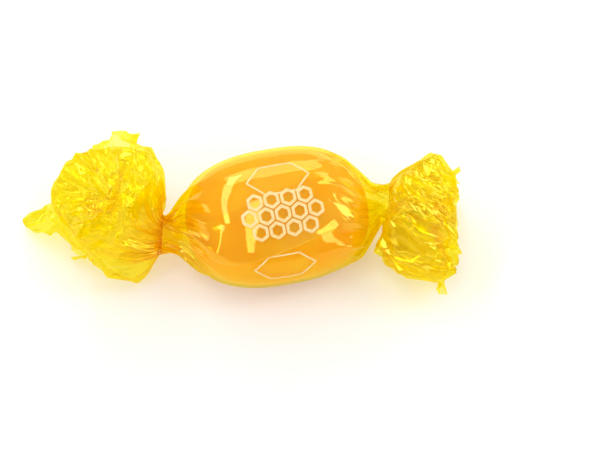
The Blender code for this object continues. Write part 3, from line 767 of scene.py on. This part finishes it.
def puff_points(tail, turn, along, inward=0.0, shrink=0.0, salt_step=0, free=0.0):
    """Points of the crumpled tail. inward goes from 0 at the rim of its open end to 1 at the middle."""
    turn, along, inward, free = np.broadcast_arrays(turn, along, inward, free)
    flared = along * tail["length"] / (tail["flare"] * (1 - tail["free_flare"] * free))
    share = puff_share(tail, along, flared)
    opened = smooth(flared)
    salt = tail["salt"] + salt_step
    turned = tail["side"] * NECK_TURN * (1 - TAIL_TURN + TAIL_TURN * opened)
    angle = 2 * math.pi * turn + turned
    sheet_way = along + inward * DISH_WAY
    pleats = twist_relief(tail, turn) * (1 - PLEATS_LOST * opened)
    folds = FOLD_DEPTH * opened * pleat_wave(turn, FOLDS, salt + 20)
    dents = CRUMPLE * opened * crumple(turn * DENTS, sheet_way * DENT_ROWS, DENTS, salt + 40)
    count = tail["long_folds"]
    long_folds = tail["long_fold"] * crumple(turn * count, sheet_way * LONG_FOLD_ROWS, count, salt + 44)
    crinkles = crumple(turn * CRINKLES, sheet_way * CRINKLE_ROWS, CRINKLES, salt + 48)
    crinkles = CRINKLE * tail["crinkle"] * opened * crinkles
    rings = RING_FOLD_DEPTH * opened * along * ridge(RING_FOLDS * sheet_way + RING_WANDER * dents)
    relief = pleats + folds + dents + long_folds + crinkles + rings
    out = (relief - shrink * opened) * (1 - inward) + tail["free_lift"] * free * opened
    low_side = np.maximum(0.0, -np.sin(angle))
    half_width = share * tail["width"] / 2 * (1 - inward)
    half_height = share * tail["height"] / 2 * (1 - inward) * (1 + DROOP * low_side)
    window = np.sin(math.pi * np.clip(inward, 0, 1))
    ripple = DISH_RIPPLE * pleat_wave(turn, PLEATS, salt + 5) + DISH_FACETS * (crinkles + dents)
    rose = ROSE_DEPTH * ridge(ROSE_TURNS * inward + turn + ROSE_WANDER * dents)
    slant = tail["tilt"] * np.cos(angle - tail["tilt_way"]) * opened * (1 - inward)
    bulge = BULGE_SIDE * np.cos(angle - BACK_WAY) + BULGE_ROUND
    bulge = np.sin(math.pi * np.minimum(flared / BULGE_END, 1)) * bulge
    distance = along * tail["length"] * (1 - slant) * (1 - tail["free_short"] * free)
    distance = distance - tail["back"] * bulge * (1 - inward)
    sunk = tail["dish"] * smooth(inward * DISH_STEEPNESS)
    distance = distance + (ripple + rose) * window - sunk
    return tail_ring(tail, NECK_LENGTH + distance, angle, half_width + out, half_height + out)


ROW_SEED = 97  # as FACET_SEED
CORNERS = ((0, 0), (1, 0), (0, 1), (1, 1))  # of a cell, in the order of its shares
SHAKE = 0.46  # how far a corner of a facet strays, as a share of a cell
QUADS = 7  # to a side of each facet
FINER, PATCHES = 2.5, 0.5  # the small facets to a large one, along its side, and the patches of them
PATCH_RISE, PATCH_LEVEL = 2.4, 0.7  # how sharply a patch ends, and how much lies outside them
SMALL_FACET_HEIGHT = 0.00022
CRUSH_EASE = 0.4  # the rows over which a sheet goes from soft to crushed
EDGE_EASE = 0.1  # the rows over which an open sheet goes soft again, past its wall
RUFFLE_ROWS = 0.25
HAIR = 0.000001  # keeps the last point in the last cell
GATHERED_SHRINK, GATHERED_SALT = 0.0006, 7  # the gathered sheet lies this much in from the open one
GATHERED_END = 1.985  # its last row: row 2 would be its very middle
END_LAYERS = 1.5  # the most layers that its colour shows in its end
OPEN_TURNS = 1.06  # how far round the open sheet goes
GATHERED_NECK, OPEN_NECK = 0.0001, 0.00005  # how far inside the twist each starts
GATHERED_LOW, OPEN_LOW = 0.0002, 0.0001  # the least height of each over the table


def facet_shares(across, down, salt):
    """The cell of a lattice that each place is in, and the share of each of its corners there.

    A cell is two flat triangles, cut along one diagonal or the other.
    """
    column, row = np.floor(across), np.floor(down)
    flip = chance(column + ROW_SEED * row, salt) > 0.5
    a, b = across - column, down - row
    a = np.where(flip, 1 - a, a)
    near, far = np.maximum(0, 1 - a - b), np.maximum(0, a + b - 1)
    beside, ahead = np.where(a + b <= 1, a, 1 - b), np.where(a + b <= 1, b, 1 - a)
    shares = np.where(flip, [beside, near, far, ahead], [near, beside, ahead, far])
    return column.astype(int), row.astype(int), shares


def small_facets(across, down, count, salt):
    """Height of the small facets, from -0.5 to 0.5, which only stand in patches."""
    heights = []
    for scale, step in ((FINER, 5), (PATCHES, 6)):
        column, row, shares = facet_shares(across * scale, down * scale, salt + step)
        wrap = round(count * scale)
        height = 0.0
        for share, (n, m) in zip(shares, CORNERS):
            height = height + share * chance((column + n) % wrap + ROW_SEED * (row + m), salt + step)
        heights.append(height)
    fine, patch = heights
    return (fine - 0.5) * np.clip(PATCH_RISE * patch - PATCH_LEVEL, 0, 1)


def crushed_sheet(surface, turns, rows, cells, salt, wraps):
    """The points of a sheet that is crushed into flat facets, by rows and columns.

    surface gives the sheet's points before that at a turn and a row. cells are the facets round it and
    along it. A sheet that doesn't wrap is open, and stays soft past row 1.
    """
    around, along = cells
    i, k = np.arange(around + 1)[None, :], np.arange(along + 1)[:, None]
    seed = i % around + ROW_SEED * k
    at_end = (k == 0) | (k == along)
    at_side = np.zeros_like(i, dtype=bool) if wraps else (i == 0) | (i == around)
    stray = np.where(at_end | at_side, 0, SHAKE * (2 * chance(seed, salt) - 1))
    slide = np.where(at_end, 0, SHAKE * (2 * chance(seed, salt + 1) - 1))
    turn = turns[0] + (turns[1] - turns[0]) * (i + stray) / around
    row = rows[0] + (rows[1] - rows[0]) * (k + slide) / along
    corners = np.concatenate([surface(turn, row), turn[..., None], row[..., None]], axis=-1)
    across = np.minimum(np.arange(around * QUADS + 1) / QUADS, around - HAIR)[None, :]
    down = np.minimum(np.arange(along * QUADS + 1) / QUADS, along - HAIR)[:, None]
    across, down = np.broadcast_arrays(across, down)
    column, line, shares = facet_shares(across, down, salt + 2)
    flat = sum(s[..., None] * corners[line + m, column + n] for s, (n, m) in zip(shares, CORNERS))
    turn, row = flat[..., 3], flat[..., 4]
    soft = surface(turn, row)
    crushed = smooth((row - rows[0]) / CRUSH_EASE)
    if not wraps:
        crushed = crushed * (1 - smooth((row - 1) / EDGE_EASE))
    crushed = crushed[..., None]
    points = soft + (flat[..., :3] - soft) * crushed
    normal = np.cross(np.gradient(points, axis=0), np.gradient(points, axis=1))
    normal /= np.linalg.norm(normal, axis=-1, keepdims=True) + 1e-12
    height = SMALL_FACET_HEIGHT * small_facets(across, down, around, salt)
    height[[0, -1]] = 0
    return points + normal * height[..., None] * crushed


def skirt_length(tail, turn):
    """How far the thin edge of film stands out: short, with longer corners."""
    wave = pleat_wave(turn, SKIRT_WAVES, tail["salt"] + 11)
    longest = SKIRT_LENGTH * (SKIRT_LEAST + SKIRT_SPREAD * wave)
    for place, reach in tail["corners"]:
        apart = np.abs((turn - place + 0.5) % 1.0 - 0.5)
        share = np.maximum(0, 1 - apart / (2 * CORNER_SPREAD))
        longest = np.maximum(longest, reach * share**CORNER_POINT)
    return np.maximum(longest, SKIRT_LENGTH * SKIRT_SHORTEST)


def skirt_points(tail, turn, out):
    """The ruffle: out is 0 at its root and 1 at its edge."""
    turn, out = np.broadcast_arrays(turn, out)
    root = puff_points(tail, turn, SKIRT_ROOT, free=free_share(tail, turn))
    centre, _, _, axial = spine(tail, NECK_LENGTH + SKIRT_ROOT * tail["length"])
    radial = root - centre
    radial -= (radial @ axial)[..., None] * axial
    radial /= np.linalg.norm(radial, axis=-1, keepdims=True)
    flutter = SKIRT_FLUTTER * pleat_wave(turn, FLUTTERS, tail["salt"] + 13)
    opening = (SKIRT_OPENING + flutter)[..., None]
    along = axial * np.cos(opening) + radial * np.sin(opening)
    outward = radial * np.cos(opening) - axial * np.sin(opening)
    reach = ((SKIRT_START + skirt_length(tail, turn)) * out)[..., None]
    wave = RUFFLE_DEPTH * pleat_wave(turn, RUFFLES, tail["salt"] + 17)
    wave = wave + FRILL_DEPTH * pleat_wave(turn, FRILLS, 5)
    return root + along * reach + outward * (wave * out)[..., None]


def gathered_surface(tail):
    """The film inside: rows 0 to 1 are its wall, and rows 1 to 2 its end, in to the middle."""

    def surface(turn, row):
        along, inward = np.minimum(row, 1), np.maximum(row - 1, 0)
        return puff_points(tail, turn, along, inward, GATHERED_SHRINK, GATHERED_SALT)

    return surface


def open_surface(tail):
    """The film outside: rows 0 to 1 are its wall, and the rows after that its thin ruffle."""

    def surface(turn, row):
        free = free_share(tail, turn)
        wall = puff_points(tail, turn, np.minimum(row, 1) * SKIRT_ROOT, free=free)
        ruffle = skirt_points(tail, turn, np.clip((row - 1) / RUFFLE_ROWS, 0, 1))
        return np.where(row[..., None] <= 1, wall, ruffle)

    return surface


for tail, label in ((LEFT, "left"), (RIGHT, "right")):
    start = np.linspace(1 - tail["lap"], 1, 3)[:-1, None]
    around, wall, end, ruffle = tail["facets"]

    surface, cells = gathered_surface(tail), (around, wall + end)
    grid = crushed_sheet(surface, (0, 1), (0, GATHERED_END), cells, tail["salt"], True)
    neck_turns = np.arange(around * QUADS)[None, :] / (around * QUADS)
    neck = neck_points(tail, neck_turns, start, GATHERED_NECK)
    grid = lift_off_table(np.concatenate([neck, grid[:, :-1]]), GATHERED_LOW)
    in_wall = np.arange(len(grid)) / len(grid) < wall / (wall + end)
    most = np.where(in_wall, tail["layers"], END_LAYERS)
    crush = np.where(in_wall, *tail["crushed"])
    mesh = film_mesh(label, grid, True, most, crush, in_wall | tail["pleated_end"])
    add_piece(label + "_gathered_film", mesh, film)

    surface, cells = open_surface(tail), (around, wall + ruffle)
    turns = (tail["overlap"][1] - OPEN_TURNS, tail["overlap"][1])
    grid = crushed_sheet(surface, turns, (0, 1 + RUFFLE_ROWS), cells, tail["salt"] + 30, False)
    neck = neck_points(tail, np.linspace(*turns, around * QUADS + 1)[None, :], start, OPEN_NECK)
    grid = lift_off_table(np.concatenate([neck, grid]), OPEN_LOW)
    mesh = film_mesh(label, grid, False, tail["layers"], tail["crushed"][0])
    add_piece(label + "_open_film", mesh, film)


# --------------------------------------
# The floor, the studio and the camera: a pale matt table under plain soft lights.
# The sweet lies loose on it. The camera looks down on it from the front, a little from the left.
# --------------------------------------
scene = bpy.context.scene
builder = bmesh.new()
bmesh.ops.create_grid(builder, x_segments=1, y_segments=1, size=1.5)
floor_mesh = bpy.data.meshes.new("floor")
builder.to_mesh(floor_mesh)
builder.free()
floor = new_object("floor", floor_mesh)
material, tree, shader, _ = material_tree("white_table")
set_inputs(tree, shader, {"Base Color": (0.80, 0.80, 0.80, 1), "Roughness": 0.7})
set_inputs(tree, shader, {"Emission Color": (1, 1, 1, 1), "Emission Strength": 0.12})
floor_mesh.materials.append(material)

world = bpy.data.worlds.new("studio")
world.use_nodes = True
sky = world.node_tree.nodes["Background"]
set_inputs(world.node_tree, sky, {"Color": (1, 1, 1, 1), "Strength": 0.47})
scene.world = world
scene.view_settings.view_transform = "Standard"
scene.cycles.transparent_max_bounces = 96
scene.cycles.max_bounces = 24


def softbox(name, place, size, radiance, way=(1, 0, 0)):
    """A soft rectangular light that looks at the sweet, with its first side along a way."""
    data = bpy.data.lights.new(name, "AREA")
    data.shape = "RECTANGLE"
    data.size, data.size_y = size
    data.energy = radiance * math.pi * size[0] * size[1]
    light = new_object(name, data)
    behind = (Vector(place) - Vector((0, 0, AXIS_HEIGHT))).normalized()
    first = (Vector(way) - behind * behind.dot(Vector(way))).normalized()
    turned = Matrix((first, behind.cross(first), behind)).transposed().to_4x4()
    light.matrix_world = Matrix.Translation(place) @ turned


softbox("left_strip", (-0.20, 0.35, 0.64), (1.1, 0.085), 5.4, (-0.33, -1.0, 0.44))
softbox("left_low_strip", (-0.73, -0.34, 0.60), (0.89, 0.12), 5.4, (-0.36, -0.38, -0.66))
softbox("top_strip", (-0.12, -0.35, 0.90), (1.6, 0.13), 3.5, (-0.23, -1, 0))
softbox("front_right", (0.47, -0.67, 0.51), (0.45, 0.26), 4.2, (0, 0, 1))
softbox("upper_right", (0.66, -0.15, 0.68), (0.50, 0.20), 4.0, (0.7, -0.1, -0.7))
softbox("back", (0.30, 1.00, 0.60), (1.0, 0.4), 2.6)
softbox("left_low", (-0.95, 0.10, 0.30), (0.8, 0.26), 2.4)
softbox("right", (0.78, 0.41, 0.36), (0.36, 0.26), 4.6, (0, 0, 1))

PHOTO_WIDTH, PHOTO_HEIGHT = 608, 476
PIXELS_PER_METRE = 7000
CAMERA_ELEVATION, CAMERA_AZIMUTH = math.radians(57), math.radians(-12)
CAMERA_DISTANCE = 0.62
SENSOR_WIDTH = 36
BODY_PIXEL = (277, 217)  # where the middle of the sweet is in the picture
data = bpy.data.cameras.new("camera")
camera = new_object("camera", data)
data.sensor_fit = "HORIZONTAL"
data.sensor_width = SENSOR_WIDTH
data.lens = SENSOR_WIDTH * CAMERA_DISTANCE * PIXELS_PER_METRE / PHOTO_WIDTH
x, y = math.sin(CAMERA_AZIMUTH), -math.cos(CAMERA_AZIMUTH)
level, height = math.cos(CAMERA_ELEVATION), math.sin(CAMERA_ELEVATION)
way = Vector((x * level, y * level, height))
rotation = (-way).to_track_quat("-Z", "Y")
right, up = rotation @ Vector((1, 0, 0)), rotation @ Vector((0, 1, 0))
aim = Vector((0, 0, AXIS_HEIGHT))
aim += right * (PHOTO_WIDTH / 2 - BODY_PIXEL[0]) / PIXELS_PER_METRE
aim -= up * (PHOTO_HEIGHT / 2 - BODY_PIXEL[1]) / PIXELS_PER_METRE
camera.location = aim + way * CAMERA_DISTANCE
camera.rotation_euler = rotation.to_euler()
scene.camera = camera
